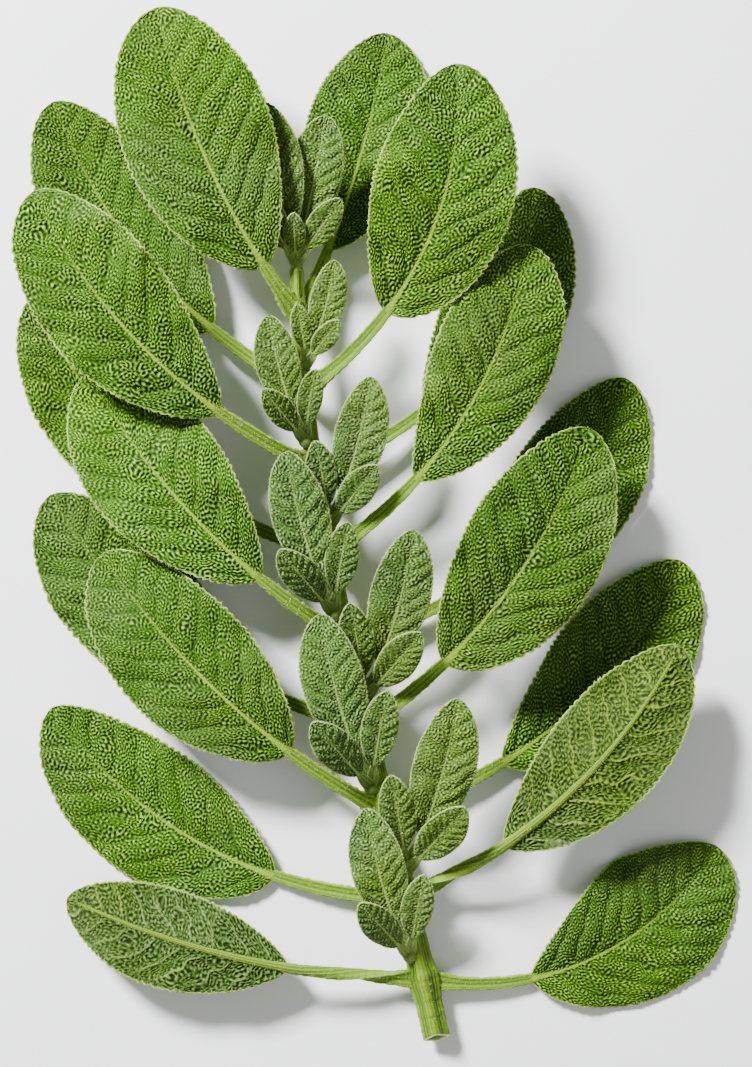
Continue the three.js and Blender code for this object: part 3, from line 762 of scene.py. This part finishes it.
draw = np.random.default_rng(11)
LEAF_KEYS = ("yaw", "pitch", "roll", "stalk", "blade", "width", "wave", "widest")
for row, (name, node, *shape) in enumerate(LEAVES):
    leaf = dict(zip(LEAF_KEYS, shape))
    start = stem_frame(NODES[node])[0][0]
    seed = 100 + 20 * row  # a gap that leaves room for every pattern of one leaf
    parts = [leaf_blade(start, leaf, seed), leaf_stalk(start, leaf, seed)]
    piece = make_piece(name + "_skin", *join_parts(parts, draw.uniform(-1, 1)), [leaf_skin])
    grow_hairs(piece, density=3.2e6, length=0.00045, radius=0.00004, seed=seed)
    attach(piece, "root")
    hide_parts(name)

# Tufts of young leaves
# A short side shoot stands in the axil above a leaf stalk, with a few small downy leaves from one bud.
# They are paler and greyer than the large leaves because their hairs stand closer.
TUFT_OFFSET = 0.034  # from the node to the tuft, as a share of the stem
TUFT_LIFT = 4  # degrees by which every tuft leaf points higher than the list below says
BUD_RADIUS = 1.5  # mm
YOUNG_WIDEST = 1.12
# Yaw, pitch, roll, stalk, blade, width and wave, as for the large leaves but on a tuft of full size.
TUFT_LEAVES = [
    ((24, 8), (30, -6), 4, 8, 26, 11, 0.4),
    ((38, 40), (50, 14), 6, 5, 15, 7, 0.2),
    ((-6, -12), (36, 8), 0, 5, 15, 6.5, 0.2),
]
# Name, node, hand and size.
TUFTS = [
    ("tuft_1_left", 0, -1, 1.0),
    ("tuft_2_right", 1, 1, 1.15),
    ("tuft_3_left", 2, -1, 1.15),
    ("tuft_4_right", 3, 1, 1.1),
    ("tuft_5_left", 4, -1, 1.05),
    ("tuft_6_right", 5, 1, 0.95),
    ("tuft_7_left", 6, -1, 0.8),
    ("tuft_8_right", 7, 1, 0.65),
]
young_skin = leaf_material(
    "young_leaf_skin",
    {
        # painted highlight on the pebbles' tops
        "Crest highlight": (138, 164, 104),
        "Flank": (66, 96, 38),
        # painted shade in the grooves
        "Groove shade": (22, 46, 10),
        "Vein": (48, 76, 24),
        "Rib": (134, 158, 80),
        "Rim": (154, 174, 108),
        # painted sheen in patches
        "Painted sheen": (128, 148, 102),
        "Back crest": (110, 136, 74),
        # painted shade in the back's hollows
        "Back groove shade": (46, 72, 22),
        "Back vein": (142, 164, 104),
    },
    roughness=0.65,
    sheen=0.18,
)


def bud(centre, radius):
    """The short shoot's bud as a small egg of rings."""
    rings, sides = 7, 12
    turn = np.linspace(0, 2 * np.pi, sides, endpoint=False)
    climb = np.radians(np.linspace(-85, 85, rings))[:, None]
    level, upright = np.cos(climb), np.sin(climb) + 0 * turn
    shape = np.stack([level * np.cos(turn), upright, level * np.sin(turn)], -1).reshape(-1, 3)
    flat = np.zeros(rings * sides)
    masks = {key: flat for key in ("vein", "rim", "plain", "under")}
    masks.update({"pebble": flat + 0.5, "rib": flat + 0.5, "hairy": flat + 1})
    return centre + radius * shape, tube_faces(rings, sides), np.zeros((rings * sides, 2)), masks


def cluster(name, start, radius, leaves, seed):
    """A bud and its young leaves as one piece."""
    parts = [bud(start, radius)]
    for k, leaf in enumerate(leaves):
        parts.append(leaf_blade(start, leaf, seed + 7 * k))
        parts.append(leaf_stalk(start, leaf, seed + 7 * k))
    piece = make_piece(name + "_skin", *join_parts(parts, draw.uniform(-0.6, 0.6)), [young_skin])
    grow_hairs(piece, density=3.6e6, length=0.00038, radius=0.000032, seed=seed)
    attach(piece, "root")
    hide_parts(name)


for row, (name, node, hand, size) in enumerate(TUFTS):
    station = NODES[node] + TUFT_OFFSET
    centre, tangent, side, top = (a[0] for a in stem_frame(station))
    outward = side * hand + np.array([0, 0, 1])
    start = centre + outward / np.linalg.norm(outward) * stem_radius(station)[0]
    leaves = [
        {
            "yaw": (hand * yaw[0], hand * yaw[1]),
            "pitch": (pitch[0] + TUFT_LIFT, pitch[1] + TUFT_LIFT),
            "roll": hand * roll,
            "stalk": stalk * size,
            "blade": blade * size,
            "width": width * size,
            "wave": wave,
            "widest": YOUNG_WIDEST,
        }
        for yaw, pitch, roll, stalk, blade, width, wave in TUFT_LEAVES
    ]
    cluster(name, start, BUD_RADIUS * math.sqrt(size), leaves, 1000 + 40 * row)

# Crown
# The youngest leaves, which grow from the end bud at the stem's tip. They stand close about it and are
# as downy as the tufts.
CROWN_LEAVES = [
    ((-16, -8), (30, -6), -4, 6, 27, 12, 0.4),
    ((14, 10), (22, -4), 4, 6, 24, 11, 0.4),
    ((-34, -30), (44, 12), -8, 4, 14, 6.5, 0.2),
    ((40, 34), (44, 12), 8, 4, 13, 6, 0.2),
    ((-4, 0), (56, 24), 0, 3, 9, 4.5, 0.1),
]
centre, tangent, side, top = (a[0] for a in stem_frame(1))
leaves = [dict(zip(LEAF_KEYS, (*shape, YOUNG_WIDEST))) for shape in CROWN_LEAVES]
cluster("crown", centre + tangent * BUD_RADIUS, BUD_RADIUS, leaves, 2000)

# Floor, light and camera
# A plain pale surface and soft studio light from the upper left. The camera looks straight down, as the
# photograph does.
CAMERA_HEIGHT = 0.515  # metres above the floor
bpy.ops.mesh.primitive_plane_add(size=4)
floor = bpy.context.object
floor.name = "floor"
floor_material, tree, shader = new_material("floor_plain")
place = add_node(tree, "ShaderNodeTexCoord").outputs["Object"]
colour = blend(tree, noise(tree, place, scale=30), srgb(236, 237, 238), srgb(240, 241, 242))
tree.links.new(colour, shader.inputs["Base Color"])
shader.inputs["Roughness"].default_value = 0.8
floor.data.materials.append(floor_material)

world = bpy.data.worlds.new("studio")
world.use_nodes = True
world.node_tree.nodes["Background"].inputs["Color"].default_value = (1.0, 1.0, 0.98, 1)
world.node_tree.nodes["Background"].inputs["Strength"].default_value = 0.38
bpy.context.scene.world = world
for name, spot, size, power in (  # metres and watts
    ("key", (-0.5, 0.55, 0.6), 0.2, 45.0),
    ("fill", (0.6, -0.35, 0.8), 0.9, 2.5),
):
    light = bpy.data.lights.new(name, "AREA")
    light.size = size
    light.energy = power
    lamp = bpy.data.objects.new(name, light)
    lamp.location = spot
    lamp.rotation_euler = (-Vector(spot)).to_track_quat("-Z", "Y").to_euler()
    bpy.context.scene.collection.objects.link(lamp)

camera_data = bpy.data.cameras.new("camera")
camera_data.lens = 85
camera_data.sensor_width = 36
camera = bpy.data.objects.new("camera", camera_data)
camera.location = (0, 0, CAMERA_HEIGHT)
bpy.context.scene.collection.objects.link(camera)
bpy.context.scene.camera = camera
